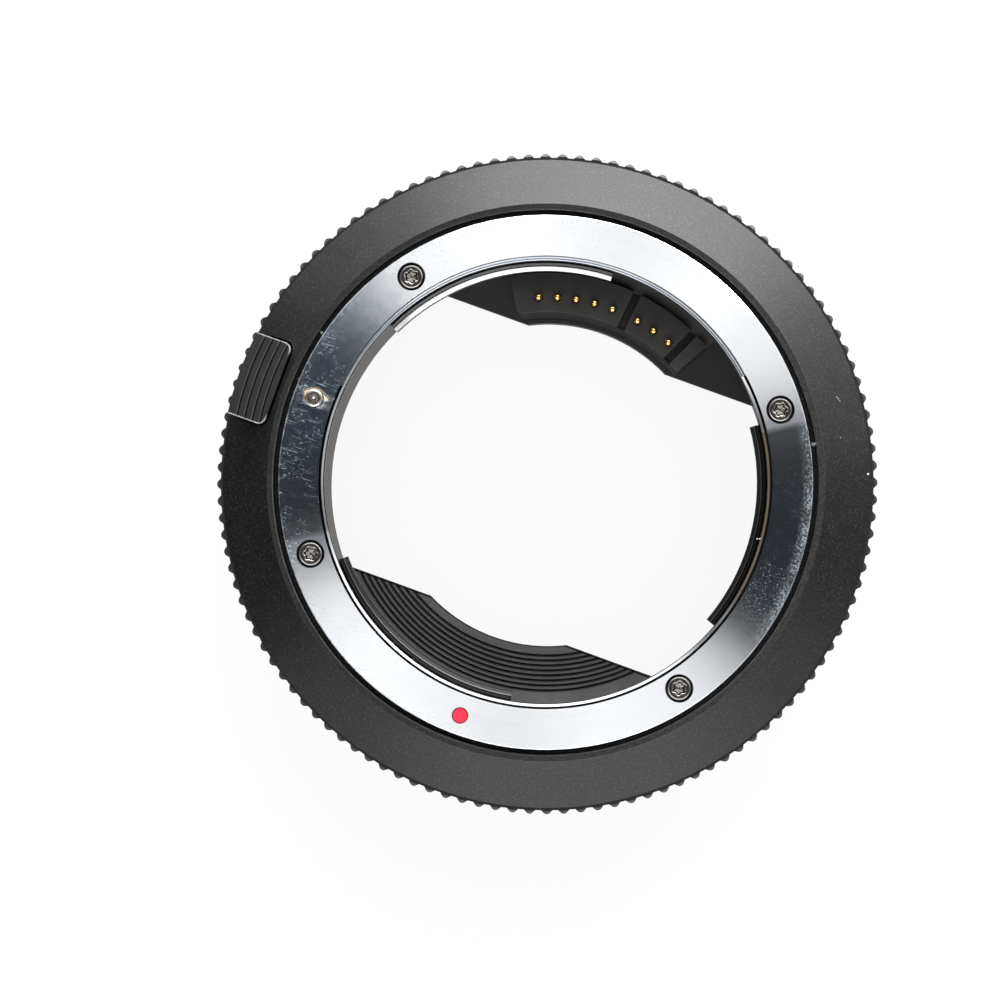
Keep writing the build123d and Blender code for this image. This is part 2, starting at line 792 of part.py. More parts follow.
# Rear body: camera-side shell with posts for the board and for the lever's spring
with BuildPart() as rear_body:
    turned(
        [
            (plate_inner_r, flange_top_z),
            (flange_r + slip, flange_top_z),
            (flange_r + slip, rear_face_z),
            (rear_foot_r, rear_face_z),
            (rear_edge_r, rear_face_z + rear_taper_h),
            (rear_edge_r, plate_top_z),
            (plate_inner_r, plate_top_z),
        ]
    )
    with Locations(*[spot(post_circle_r, a, plate_top_z) for a in post_angles]):
        Cylinder(post_r, board_lift, align=low)
    lock_post_h = arm_low_z - lever_stroke - moving_gap - plate_top_z
    with Locations(spot(lock_spring_circle_r, 0, plate_top_z)):
        Cylinder(lock_post_r, lock_post_h, align=low)
    with Locations(*[spot(post_circle_r, a, board_low_z) for a in post_angles]):
        Hole(small_shank_r + screw_slip, small_screw_length)
    with Locations(*[spot(ear_screw_r, a, plate_top_z) for a in ear_angles]):
        Hole(small_shank_r + screw_slip, rear_plate_t)
    with Locations(*[spot(rear_screw_circle_r, a, plate_top_z) for a in rear_screw_angles]):
        Hole(rear_shank_r + slip, rear_plate_t)
    with Locations(spot(click_circle_r, 180, ball_hole_low_z)):
        Cylinder(ball_hole_r, plate_top_z - ball_hole_low_z, align=low, mode=Mode.SUBTRACT)
    # Notch for the flexible circuit of the camera contacts
    with Locations(spot(plate_inner_r, flex_angle, flange_top_z)):
        Box(
            4 * moving_gap + flex_t,
            flex_w + 2 * moving_gap,
            2 * rear_plate_t + 1,
            mode=Mode.SUBTRACT,
        )
    with Locations(spot(rear_edge_r, 90, (rear_face_z + rear_taper_h + plate_top_z) / 2)):
        with Locations(Location((0, 0, 0), (0, 90, 0))):
            Cylinder(rear_dot_r + screw_slip, 2 * rear_dot_depth, mode=Mode.SUBTRACT)
rear_body.part.label = "rear_body"
export_step(rear_body.part, "parts/rear_body.step")

# Index dot on the camera side, paint in a pit of the rim
with BuildPart() as rear_index_dot:
    with Locations(spot(rear_edge_r - rear_dot_depth, 90, (rear_face_z + rear_taper_h + plate_top_z) / 2)):
        with Locations(Location((0, 0, 0), (0, 90, 0))):
            Cylinder(rear_dot_r, rear_dot_depth - dot_below, align=low)
rear_index_dot.part.label = "rear_index_dot"
export_step(rear_index_dot.part, "parts/rear_index_dot.step")

# Camera bayonet: flange, tube and three lugs
with BuildPart() as rear_mount:
    turned(
        [
            (tube_inner_r, 0),
            (tube_r - tube_chamfer, 0),
            (tube_r, tube_chamfer),
            (tube_r, camera_seat_z),
            (flange_r, camera_seat_z),
            (flange_r, flange_top_z),
            (tube_inner_r, flange_top_z),
        ]
    )
    for lug_start, lug_sweep in lug_spans:
        turned(band(tube_r - tube_wall / 2, lug_r, lug_lift, lug_lift + lug_t), lug_start, lug_sweep)
    with Locations(*[spot(rear_screw_circle_r, a, camera_seat_z, 180) for a in rear_screw_angles]):
        CounterBoreHole(rear_shank_r + slip, rear_head_r + slip, rear_head_depth + rear_head_t, flange_t)
    with BuildSketch(Plane.XY.offset(camera_seat_z)):
        with Locations(spot(rear_screw_circle_r, lock_slot_angle, 0)):
            with Locations(Location((0, 0, 0), (0, 0, 90))):
                SlotOverall(lock_slot_length, lock_slot_w)
    extrude(amount=lock_slot_depth, mode=Mode.SUBTRACT)
rear_mount.part.label = "rear_mount"
export_step(rear_mount.part, "parts/rear_mount.step")

# Long screws that clamp flange, rear body and sleeve together
with BuildPart() as rear_mount_screws:
    star_screws(
        [
            spot(rear_screw_circle_r, a, camera_seat_z + rear_head_depth + rear_head_t, 180)
            for a in rear_screw_angles
        ],
        rear_head_r,
        rear_head_t,
        rear_shank_r,
        rear_screw_length,
    )
rear_mount_screws.part.label = "rear_mount_screws"
export_step(rear_mount_screws.part, "parts/rear_mount_screws.step")

# Circuit board, a sector between lining tube and sleeve
with BuildPart() as circuit_board:
    turned(band(board_inner_r, board_outer_r, board_low_z, board_high_z), board_start, board_sweep)
    with Locations(*[spot(post_circle_r, a, board_high_z) for a in post_angles]):
        Hole(small_shank_r + slip, board_t)
circuit_board.part.label = "circuit_board"
export_step(circuit_board.part, "parts/circuit_board.step")

with BuildPart() as board_screws:
    star_screws(
        [spot(post_circle_r, a, board_high_z) for a in post_angles],
        small_head_r,
        small_head_t,
        small_shank_r,
        small_screw_length,
    )
board_screws.part.label = "board_screws"
export_step(board_screws.part, "parts/board_screws.step")

with BuildPart() as controller_chip:
    with Locations(spot((board_inner_r + board_outer_r) / 2, chip_angle, board_high_z)):
        Box(chip_size, chip_size, chip_t, align=low)
controller_chip.part.label = "controller_chip"
export_step(controller_chip.part, "parts/controller_chip.step")

# Sensor on the board, its eye in the sleeve's window
with BuildPart() as ring_sensor:
    sensor_outer_r = sleeve_r - sensor_inset
    with Locations(spot(sensor_outer_r - sensor_length / 2, sensor_angle, board_high_z)):
        Box(sensor_length, sensor_w, sensor_h, align=low)
ring_sensor.part.label = "ring_sensor"
export_step(ring_sensor.part, "parts/ring_sensor.step")

# Flexible circuit from the lens contact block out over the board and down to it
with BuildPart() as lens_flex:
    flex_half_t = flex_t / 2
    flex_section = section(
        [
            (block_outer_r, lens_flex_z - flex_half_t),
            (lens_flex_reach - flex_t, lens_flex_z - flex_half_t),
            (lens_flex_reach - flex_t, board_high_z),
            (lens_flex_reach, board_high_z),
            (lens_flex_reach, lens_flex_z + flex_half_t),
            (block_outer_r, lens_flex_z + flex_half_t),
        ],
        flex_angle,
    )
    extrude(flex_section, amount=flex_w / 2, both=True)
lens_flex.part.label = "lens_flex"
export_step(lens_flex.part, "parts/lens_flex.step")

# Flexible circuit from the camera contact block up to the board
with BuildPart() as camera_flex:
    camera_flex_r = board_inner_r + moving_gap
    with Locations(spot(camera_flex_r, flex_angle, flange_top_z)):
        Box(flex_t, flex_w, board_low_z - flange_top_z, align=low)
camera_flex.part.label = "camera_flex"
export_step(camera_flex.part, "parts/camera_flex.step")

# Black ring that closes the rear tube round the lining, open where the contact block sits
shield_inner_r = barrel_outer_r + body_gap
shield_outer_r = tube_inner_r - body_gap
with BuildPart() as rear_shield:
    turned(
        [
            (shield_inner_r, barrel_rear_gap),
            (shield_outer_r, barrel_rear_gap),
            (shield_outer_r, flange_top_z),
            (shield_outer_r - shield_wall, flange_top_z),
            (shield_outer_r - shield_wall, barrel_rear_gap + shield_floor_t),
            (shield_inner_r, barrel_rear_gap + shield_floor_t),
        ],
        flex_angle + rear_block_half_angle,
        360 - 2 * rear_block_half_angle,
    )
rear_shield.part.label = "rear_shield"
export_step(rear_shield.part, "parts/rear_shield.step")

# Camera contact block and its flat gold pads
pad_angles = [flex_angle + (i - (pad_count - 1) / 2) * pad_pitch for i in range(pad_count)]
pad_circle_r = (shield_inner_r + shield_outer_r) / 2
rear_block_z = barrel_rear_gap + rear_block_inset
with BuildPart() as rear_contact_block:
    turned(
        band(shield_inner_r, shield_outer_r, rear_block_z, flange_top_z),
        flex_angle - rear_block_half_angle,
        2 * rear_block_half_angle,
    )
    with Locations(*[spot(pad_circle_r, a, rear_block_z) for a in pad_angles]):
        Cylinder(pad_r + screw_slip, pad_depth, align=low, mode=Mode.SUBTRACT)
rear_contact_block.part.label = "rear_contact_block"
export_step(rear_contact_block.part, "parts/rear_contact_block.step")

with BuildPart() as rear_contacts:
    with Locations(*[spot(pad_circle_r, a, rear_block_z - pad_proud) for a in pad_angles]):
        Cylinder(pad_r, pad_depth + pad_proud, align=low)
rear_contacts.part.label = "rear_contacts"
export_step(rear_contacts.part, "parts/rear_contacts.step")
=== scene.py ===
import math

import bmesh
import bpy
from mathutils import Matrix, Vector


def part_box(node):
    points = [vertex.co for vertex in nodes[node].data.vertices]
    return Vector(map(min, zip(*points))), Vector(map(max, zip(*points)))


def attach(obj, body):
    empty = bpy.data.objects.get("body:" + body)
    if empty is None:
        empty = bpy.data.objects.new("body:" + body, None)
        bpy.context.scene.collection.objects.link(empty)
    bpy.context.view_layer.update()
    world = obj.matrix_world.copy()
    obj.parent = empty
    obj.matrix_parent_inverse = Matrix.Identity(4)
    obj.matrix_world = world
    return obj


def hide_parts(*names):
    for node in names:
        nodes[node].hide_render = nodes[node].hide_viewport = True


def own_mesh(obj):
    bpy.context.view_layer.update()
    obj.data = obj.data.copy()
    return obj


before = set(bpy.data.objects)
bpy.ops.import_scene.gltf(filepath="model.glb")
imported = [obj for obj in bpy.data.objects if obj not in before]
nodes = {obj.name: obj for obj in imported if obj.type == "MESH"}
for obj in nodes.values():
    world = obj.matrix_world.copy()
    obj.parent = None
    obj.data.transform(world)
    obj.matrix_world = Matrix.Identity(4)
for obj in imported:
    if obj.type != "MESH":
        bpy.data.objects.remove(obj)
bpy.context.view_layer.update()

# Row frame in metres: the optical axis is Z, the red dot at +Y, the lock pin and the lever at +X.
MM = 0.001
DEGREES = math.degrees(1.0)

# Camera, from the photograph
LENS_FACE_Z = 23.0 * MM
CAMERA_PLACE = Vector((-12.15, 7.08, 423.0)) * MM
PICTURE_RIGHT = Vector((-0.9399, -0.3416, 0.0))
PICTURE_UP = Vector((0.3416, -0.9399, 0.0))
PICTURE_SIDE = 1000
FOCAL_PIXELS = 3336.0
DOWN_PIXEL = (620.0, 572.0)
SENSOR_WIDTH = 36.0


# Shader nodes

def node(tree, kind, inputs=None, **settings):
    """Add a shader node, set its settings, and fill or link its inputs."""
    made = tree.nodes.new(kind)
    for key, value in settings.items():
        setattr(made, key, value)
    for key, value in (inputs or {}).items():
        if isinstance(value, bpy.types.NodeSocket):
            tree.links.new(value, made.inputs[key])
        else:
            made.inputs[key].default_value = value
    return made


def calc(tree, operation, *values, clamp=False):
    """Result of a math node on these values."""
    made = node(tree, "ShaderNodeMath", dict(enumerate(values)), operation=operation, use_clamp=clamp)
    return made.outputs[0]


def remap(tree, value, low, high, to_low=0.0, to_high=1.0, smooth=False):
    """Map a value from one range to another, held at the ends."""
    inputs = {"Value": value, "From Min": low, "From Max": high, "To Min": to_low, "To Max": to_high}
    style = "SMOOTHSTEP" if smooth else "LINEAR"
    return node(tree, "ShaderNodeMapRange", inputs, interpolation_type=style).outputs[0]


def blend_color(tree, share, first, second):
    """Mix two colours by a share from 0 to 1."""
    made = node(tree, "ShaderNodeMix", {0: share, 6: first, 7: second}, data_type="RGBA")
    return made.outputs[2]


def noise(tree, place, scale, detail=2.0, roughness=0.5, w=None):
    """Noise from 0 to 1 at a place in millimetres, in three or four dimensions."""
    inputs = {"Vector": place, "Scale": scale, "Detail": detail, "Roughness": roughness}
    if w is not None:
        inputs["W"] = w
    dims = "3D" if w is None else "4D"
    return node(tree, "ShaderNodeTexNoise", inputs, noise_dimensions=dims).outputs[0]


def rgb(red, green, blue):
    """Colour for a socket, linear."""
    return (red, green, blue, 1.0)


def darker(color, share):
    """The colour with its light cut to a share."""
    return rgb(*(part * share for part in color[:3]))


class Finish:
    """A material with places on the piece in millimetres ready to use."""

    def __init__(self, name):
        self.material = bpy.data.materials.new(name)
        self.material.use_nodes = True
        self.tree = self.material.node_tree
        self.tree.nodes.clear()
        place = node(self.tree, "ShaderNodeTexCoord").outputs["Object"]
        scaled = node(self.tree, "ShaderNodeVectorMath", {0: place, 3: 1.0 / MM}, operation="SCALE")
        self.place = scaled.outputs[0]
        parts = node(self.tree, "ShaderNodeSeparateXYZ", {0: self.place})
        self.x, self.y, self.z = parts.outputs
        flat = node(self.tree, "ShaderNodeCombineXYZ", {0: self.x, 1: self.y}).outputs[0]
        self.radius = node(self.tree, "ShaderNodeVectorMath", {0: flat}, operation="LENGTH").outputs[1]
        self.outward = node(self.tree, "ShaderNodeVectorMath", {0: flat}, operation="NORMALIZE").outputs[0]
        self.matt = None  # share of extra roughness, set by a dress function

    def calc(self, operation, *values, clamp=False):
        return calc(self.tree, operation, *values, clamp=clamp)

    def noise(self, scale, detail=2.0, roughness=0.5):
        return noise(self.tree, self.place, scale, detail, roughness)

    def below(self, value, limit, soft=0.02):
        """1 where a value is under a limit, with a soft end."""
        return remap(self.tree, value, limit - soft, limit + soft, 1.0, 0.0)

    def above(self, value, limit, soft=0.02):
        """1 where a value is over a limit, with a soft end."""
        return remap(self.tree, value, limit - soft, limit + soft)

    def span(self, value, low, high, soft=0.02):
        """1 where a value lies between two limits, with soft ends."""
        return self.calc("MULTIPLY", self.above(value, low, soft), self.below(value, high, soft))

    def both(self, *masks):
        """1 where all the masks are."""
        made = masks[0]
        for mask in masks[1:]:
            made = self.calc("MULTIPLY", made, mask)
        return made

    def either(self, *masks):
        """1 where any of the masks is."""
        made = masks[0]
        for mask in masks[1:]:
            made = self.calc("MAXIMUM", made, mask)
        return made

    def without(self, mask):
        """1 where the mask is 0."""
        return self.calc("SUBTRACT", 1.0, mask)

    def part(self, mask, share):
        """A mask weakened to a share."""
        return self.calc("MULTIPLY", mask, share)

    def length(self, x, y):
        """Length of a flat vector."""
        squares = self.calc("ADD", self.calc("MULTIPLY", x, x), self.calc("MULTIPLY", y, y))
        return self.calc("SQRT", squares)

    def apart(self, x, y):
        """Distance from a point, seen along the optical axis."""
        return self.length(self.calc("SUBTRACT", self.x, x), self.calc("SUBTRACT", self.y, y))

    def turn(self):
        """Angle about the optical axis in degrees, from -180 to 180."""
        return self.calc("MULTIPLY", self.calc("ARCTAN2", self.y, self.x), DEGREES)

    def over(self, color, mask, coat):
        """Lay a colour over another where the mask is 1."""
        return blend_color(self.tree, mask, color, coat)

    def dots(self, places):
        """Small round spots, each given as x, y and radius."""
        return self.either(*[self.below(self.apart(x, y), size, size * 0.3) for x, y, size in places])

    def streaks(self, turn, scale, stretch, limit):
        """Fine scratches that run one way: noise drawn out along a direction."""
        inputs = {0: self.place, 2: (0.0, 0.0, math.radians(turn)), 3: (1.0, stretch, 1.0)}
        place = node(self.tree, "ShaderNodeMapping", inputs).outputs[0]
        return remap(self.tree, noise(self.tree, place, scale, 1.0), limit, limit + 0.03)

    def turning(self, along, across, detail=3.0, roughness=0.6):
        """Noise drawn out round the axis: along is its scale round the axis, across its scale outward."""
        w = self.calc("MULTIPLY", self.radius, across)
        return noise(self.tree, self.outward, along, detail, roughness, w)

    def bump(self, height, strength, distance):
        """Normal bent by a height, its distance in mm."""
        inputs = {"Height": height, "Strength": strength, "Distance": distance * MM}
        return node(self.tree, "ShaderNodeBump", inputs).outputs[0]

    def shade(self, **inputs):
        """Finish the material with one surface shader, its inputs given by their names."""
        named = {key.replace("_", " "): value for key, value in inputs.items()}
        surface = node(self.tree, "ShaderNodeBsdfPrincipled", named)
        node(self.tree, "ShaderNodeOutputMaterial", {0: surface.outputs[0]})
        return self.material


def turned_metal(f):
    """Circular tool lines of bright turned metal, its hazy colour and its roughness."""
    lines = f.turning(1.5, 9.0, 5.0, 0.75)
    color = blend_color(f.tree, f.noise(0.12, 3.0), rgb(0.78, 0.80, 0.83), rgb(0.88, 0.88, 0.88))
    return lines, color, remap(f.tree, lines, 0.3, 0.7, 0.27, 0.33)


def chrome(name):
    """Bright turned metal with circular tool lines."""
    f = Finish(name)
    lines, color, rough = turned_metal(f)
    return f.shade(
        Base_Color=color,
        Metallic=1.0,
        Roughness=rough,
        Anisotropic=0.98,
        Tangent=f.outward,
        Normal=f.bump(lines, 0.12, 0.02),
    )


def pin_wear(f):
    """Worn spot round the lock pin, a cap with one drawn-out tip: its mask and its brown rim."""
    x = f.calc("SUBTRACT", f.x, LOCK_PIN[0])
    y = f.calc("SUBTRACT", f.y, LOCK_PIN[1])
    right = f.calc("ADD", f.calc("MULTIPLY", x, PICTURE_RIGHT.x), f.calc("MULTIPLY", y, PICTURE_RIGHT.y))
    up = f.calc("ADD", f.calc("MULTIPLY", x, PICTURE_UP.x), f.calc("MULTIPLY", y, PICTURE_UP.y))
    angle = f.calc("MULTIPLY", f.calc("ARCTAN2", up, right), DEGREES)
    reach = 1.2
    for middle, spread, extra in ((-6.0, 15.0, 0.5), (142.0, 18.0, 0.32), (75.0, 60.0, 0.06)):
        off = f.calc("DIVIDE", f.calc("SUBTRACT", angle, middle), spread)
        peak = f.calc("EXPONENT", f.calc("MULTIPLY", f.calc("MULTIPLY", off, off), -1.0))
        reach = f.calc("ADD", reach, f.calc("MULTIPLY", peak, extra))
    depth = f.calc("SUBTRACT", reach, f.length(x, y))
    upper = f.above(up, -0.35, 0.15)
    return f.both(f.above(depth, 0.0, 0.05), upper), f.both(f.span(depth, -0.09, 0.06, 0.05), upper)


def lens_ring_metal():
    """The lens ring: turned face, chamfer and lead-in, tabs, wells painted dark as shade, painted
    highlights and painted shade by place, and the marks of use.
    """
    f = Finish("lens_ring_metal")
    lines, color, rough = turned_metal(f)
    # Bluer and speckled where the face lies at the pin; across from the pin and at the pin the face is
    # painted darker, as shade standing in for darker reflections there
    pin_side = f.above(f.calc("DIVIDE", f.x, f.radius), 0.88, 0.1)
    turn = f.turn()
    past_far_screw = f.below(turn, FAR_DARK_TURN, 0.8)
    far_side = f.either(past_far_screw, f.above(turn, FAR_DARK_START, 6.0))
    blue_patches = f.both(remap(f.tree, f.noise(0.9, 5.0, 0.7), 0.4, 0.6), pin_side)
    color = f.over(color, f.part(blue_patches, 0.8), rgb(0.5, 0.62, 0.76))
    color = f.over(color, f.part(far_side, 0.8), rgb(0.38, 0.39, 0.4))
    far_end = f.both(past_far_screw, f.above(turn, FAR_DEEP_TURN, 8.0))
    color = f.over(color, f.part(far_end, 0.7), rgb(0.12, 0.125, 0.13))
    near_end = f.both(f.below(turn, NEAR_DARK_TURN, 0.8), f.above(turn, NEAR_DEEP_TURN, 9.0))
    color = f.over(color, f.part(near_end, 0.8), rgb(0.2, 0.21, 0.22))
    # Thin rim painted light as a highlight, then painted shade on the chamfer, the lead-in lines and the
    # foot of the throat, and a dimmer lead-in
    rim = f.both(f.above(f.radius, RIM_R, 0.05), f.above(f.z, RIM_Z))
    rim = f.both(rim, remap(f.tree, f.noise(0.8, 3.0), 0.35, 0.65, 0.1, 0.55))
    color = f.over(color, rim, rgb(0.6, 0.66, 0.72))
    lead_in = f.span(turn, *LEAD_IN_TURNS, 0.15)
    near_face = f.above(f.z, NEAR_FACE_Z)
    chamfer = f.both(f.span(f.radius, LAND_R, CHAMFER_R), f.without(lead_in), near_face)
    thin = f.either(*[f.span(f.radius, low, high, 0.03) for low, high in LEAD_IN_LINES])
    thin = f.part(f.both(thin, lead_in, near_face), 0.85)
    dim = f.both(f.below(f.radius, LEAD_IN_DIM_R), lead_in, near_face)
    color = f.over(color, f.part(dim, 0.8), rgb(0.42, 0.46, 0.5))
    throat = f.above(f.z, THROAT_Z)
    foot = f.both(f.below(f.radius, FOOT_R), throat)
    painted_shade_lines = f.either(chamfer, thin, foot)
    color = f.over(color, painted_shade_lines, rgb(0.003, 0.003, 0.003))
    # Tabs: dull top with dark lines along its edges and its bevel, painted shade; on the contacts' side the
    # top and the bevel are painted lit, the bevel near white as a painted reflection; a painted glint line
    # on the bevel
    tab = f.both(f.below(f.z, TAB_Z), f.below(f.radius, TAB_OUTER_R))
    bevel = f.both(tab, f.below(f.radius, TAB_BEVEL_R))
    painted_lit_side = f.both(f.below(f.y, -3.0, 4.0), f.above(f.x, -15.0, 4.0))
    bevel_line = f.span(f.radius, *TAB_BEVEL_LINE, 0.03)
    tab_edges = f.either(f.above(f.radius, TAB_LINE_R), f.below(f.radius, TAB_INNER_R))
    tab_shade_lines = f.both(tab, f.either(bevel_line, tab_edges))
    painted_glint = f.both(tab, f.span(f.radius, *TAB_GLINT, 0.03))
    tab_tone = f.over(rgb(0.055, 0.054, 0.052), painted_lit_side, rgb(0.2, 0.205, 0.21))
    bevel_tone = f.over(rgb(0.06, 0.059, 0.057), painted_lit_side, rgb(0.8, 0.79, 0.76))
    color = f.over(color, tab, tab_tone)
    color = f.over(color, bevel, bevel_tone)
    color = f.over(color, f.part(painted_glint, 0.5), rgb(0.4, 0.43, 0.46))
    color = f.over(color, tab_shade_lines, rgb(0.006, 0.004, 0.003))
    # Land of the throat: at the far side painted shade, dark brown, over it and the chamfer, with a lighter
    # brown painted reflection line; at the pin a painted highlight line
    land = f.both(f.below(f.radius, LAND_R), throat)
    painted_brown_shade = f.both(f.either(chamfer, land), far_side)
    color = f.over(color, painted_brown_shade, rgb(0.03, 0.026, 0.023))
    brown_edge = f.both(f.span(f.radius, *BROWN_EDGE, 0.05), throat, far_side)
    color = f.over(color, brown_edge, rgb(0.13, 0.105, 0.08))
    painted_light_edge = f.both(f.span(f.radius, *LIGHT_EDGE, 0.05), throat, pin_side)
    color = f.over(color, painted_light_edge, rgb(0.34, 0.36, 0.38))
    matt = f.either(painted_shade_lines, tab_shade_lines, painted_brown_shade, f.both(tab, f.without(painted_lit_side)))
    dull_tab = f.part(f.both(tab, painted_lit_side, f.without(tab_shade_lines)), 0.45)
    # Painted shade: the depths of the wall and the wells of the screws are painted dark
    well_x = f.calc("SUBTRACT", f.calc("ABSOLUTE", f.x), SCREW_X)
    well_y = f.calc("SUBTRACT", f.calc("ABSOLUTE", f.y), SCREW_Y)
    from_screw = f.length(well_x, well_y)
    well_shade = f.both(f.below(from_screw, WELL_R), f.below(f.z, WELL_Z, 0.01))
    deep_shade = f.both(f.below(f.z, DEEP_Z), f.above(f.radius, DEEP_R))
    color = f.over(color, f.either(well_shade, deep_shade), rgb(0.012, 0.012, 0.013))
    # Marks of use: specks and scratches, thicker towards the outer edge, and a worn spot at the lock pin
    edge = remap(f.tree, f.radius, *EDGE_MARKS, 0.0, 0.07)
    specks = remap(f.tree, f.calc("ADD", f.noise(4.5, 2.0, 0.6), edge), 0.64, 0.72)
    scratches = f.either(
        f.streaks(62.0, 0.3, 36.0, 0.7), f.streaks(-35.0, 0.34, 32.0, 0.7), f.streaks(10.0, 0.4, 30.0, 0.71)
    )
    patch = remap(f.tree, f.calc("ADD", f.noise(0.4, 3.0, 0.6), edge), 0.46, 0.6)
    marks = f.both(f.either(specks, scratches), patch)
    marks = f.both(marks, near_face, f.above(f.radius, MARKS_FROM_R))
    side = f.above(f.x, 5.0, 18.0)
    marks = f.both(marks, remap(f.tree, side, 0.0, 1.0, 0.15, 0.8))
    band = f.both(remap(f.tree, f.radius, *RUBBED_BAND, smooth=True), far_side, near_face)
    band = f.both(band, remap(f.tree, f.noise(0.35, 2.0), 0.35, 0.6, 0.35, 1.0))
    rubbed = f.both(band, remap(f.tree, f.noise(3.4, 3.0, 0.7), 0.46, 0.6, 0.08, 1.0))
    sown = remap(f.tree, f.noise(4.0, 2.0, 0.6), 0.6, 0.68, 0.0, 0.6)
    sown = f.both(sown, f.above(turn, SOWN_TURN, 2.0), f.below(turn, 179.9))
    sown = f.both(sown, near_face, f.above(f.radius, SOWN_FROM_R))
    rubbed = f.either(rubbed, sown)
    marks = f.either(marks, rubbed)
    color = f.over(color, marks, rgb(0.4, 0.5, 0.58))
    tick = f.dots(TICK_MARKS)
    color = f.over(color, tick, rgb(0.9, 0.9, 0.9))
    wear_and_sheen, brown = pin_wear(f)
    color = f.over(color, wear_and_sheen, rgb(0.5, 0.45, 0.35))
    color = f.over(color, brown, rgb(0.13, 0.065, 0.025))
    dull_land = f.part(f.either(brown_edge, painted_light_edge), 0.8)
    dull = f.either(f.part(marks, 0.7), dull_tab, rim, dull_land)
    soft = f.either(dull, wear_and_sheen, brown, tick, well_shade)
    weave = f.calc(
        "MULTIPLY",
        f.calc("SINE", f.calc("MULTIPLY", f.calc("ADD", f.x, f.y), WEAVE)),
        f.calc("SINE", f.calc("MULTIPLY", f.calc("SUBTRACT", f.x, f.y), WEAVE)),
    )
    height = f.calc("ADD", lines, f.calc("MULTIPLY", weave, 0.12))
    rougher = f.either(matt, f.part(marks, 0.5))
    return f.shade(
        Base_Color=color,
        Metallic=f.without(soft),
        Roughness=f.calc("ADD", rough, f.part(rougher, 0.4)),
        Anisotropic=0.98,
        Tangent=f.outward,
        Normal=f.bump(height, 0.12, 0.02),
    )


def black_metal(name, color, rough, grain=1.0, level=0.8, dress=None):
    """Black anodised metal with a fine blasted grain; dress lays edge wear, dust, painted highlights and
    painted shade over its colour.
    """
    f = Finish(name)
    fine = f.noise(9.0, 3.0, 0.6)
    cloud = f.noise(0.25, 3.0, 0.55)
    mottle = remap(f.tree, cloud, 0.3, 0.7, 0.85, 1.15)
    shown = f.calc("MULTIPLY", mottle, remap(f.tree, fine, 0.3, 0.7, 0.8, 1.2))
    tone = node(f.tree, "ShaderNodeVectorMath", {0: color[:3], 3: shown}, operation="SCALE").outputs[0]
    if dress:
        tone = dress(f, tone)
    roughness = remap(f.tree, fine, 0.3, 0.7, rough - 0.05, rough + 0.06)
    if f.matt:
        roughness = f.calc("ADD", roughness, f.part(f.matt, 0.35), clamp=True)
    return f.shade(
        Base_Color=tone,
        Roughness=roughness,
        Specular_IOR_Level=level,
        Normal=f.bump(fine, 0.35 * grain, 0.03),
    )


def shell_dress(f, tone):
    """Painted highlight on the edge of the lip, stronger towards +Y; a brown tone on the lip, painted
    stronger towards -X as light on that side; blasted specks, dust in the groove, marks on the cone.
    """
    wear_and_sheen = remap(f.tree, f.noise(0.8, 3.0), 0.35, 0.65, 0.5, 1.0)
    # painted highlight along the lip's edge, in patches, stronger towards +Y
    lip_edge = f.both(f.span(f.radius, *LIP_EDGE), f.above(f.z, LIP_EDGE_Z), wear_and_sheen)
    lip_edge = f.both(lip_edge, remap(f.tree, f.y, -8.0, 14.0, 0.15, 1.0))
    tone = f.over(tone, lip_edge, rgb(0.09, 0.09, 0.088))
    lip = f.both(f.span(f.radius, *LIP, 0.1), f.above(f.z, LIP_Z))
    lip = f.both(lip, remap(f.tree, f.noise(3.0, 3.0), 0.35, 0.6))
    # the lip's brown tone is painted stronger towards -X, as light on that side
    lip = f.both(lip, remap(f.tree, f.x, -15.0, 15.0, 0.9, 0.1))
    tone = f.over(tone, lip, rgb(0.026, 0.0235, 0.0215))
    specks = remap(f.tree, f.noise(3.6, 3.0, 0.75), 0.54, 0.66)
    tone = f.over(tone, f.part(specks, 0.7), rgb(0.046, 0.045, 0.043))
    tone = f.over(tone, f.dots(GROOVE_DUST), rgb(0.9, 0.9, 0.88))
    tone = f.over(tone, f.dots(ORANGE_DUST), rgb(0.7, 0.3, 0.05))
    tone = f.over(tone, f.dots(CONE_MARKS), rgb(0.16, 0.16, 0.16))
    return f.over(tone, f.dots(CONE_DARK_MARKS), rgb(0.002, 0.002, 0.002))


def lever_dress(f, tone):
    """Painted highlights on the edges at both ends of the knob and on its rib crests, over painted shade
    between the ribs.
    """
    inward = f.calc("SUBTRACT", LEVER_CORNER[0], f.x)
    aside = f.calc("SUBTRACT", f.calc("ABSOLUTE", f.y), LEVER_CORNER[1])
    from_corner = f.length(f.calc("MAXIMUM", inward, 0.0), f.calc("MAXIMUM", aside, 0.0))
    face = f.above(f.z, LEVER_FACE_Z)
    wear_and_sheen = remap(f.tree, f.noise(1.5, 3.0), 0.3, 0.6, 0.55, 1.0)
    at_end = f.above(f.calc("ABSOLUTE", f.y), LEVER_END_Y, 0.4)
    # painted highlights along the edges at both ends of the knob
    ends = f.both(f.above(from_corner, LEVER_CORNER_R), at_end, face, wear_and_sheen)
    step = f.calc("FRACT", f.calc("SUBTRACT", f.radius, LEVER_RIBS[0]))
    ribbed = f.span(f.radius, *LEVER_RIBS)
    # painted highlights on the rib crests, painted shade between the ribs
    ribs = f.both(f.span(step, 0.27, 0.38, 0.03), ribbed, face, wear_and_sheen)
    rib_valley_shade = f.both(f.span(step, 0.08, 0.27, 0.03), ribbed, face)
    tone = f.over(tone, rib_valley_shade, rgb(0.002, 0.002, 0.002))
    tone = f.over(tone, f.part(ribs, 0.8), rgb(0.1, 0.1, 0.1))
    return f.over(tone, ends, rgb(0.42, 0.42, 0.41))


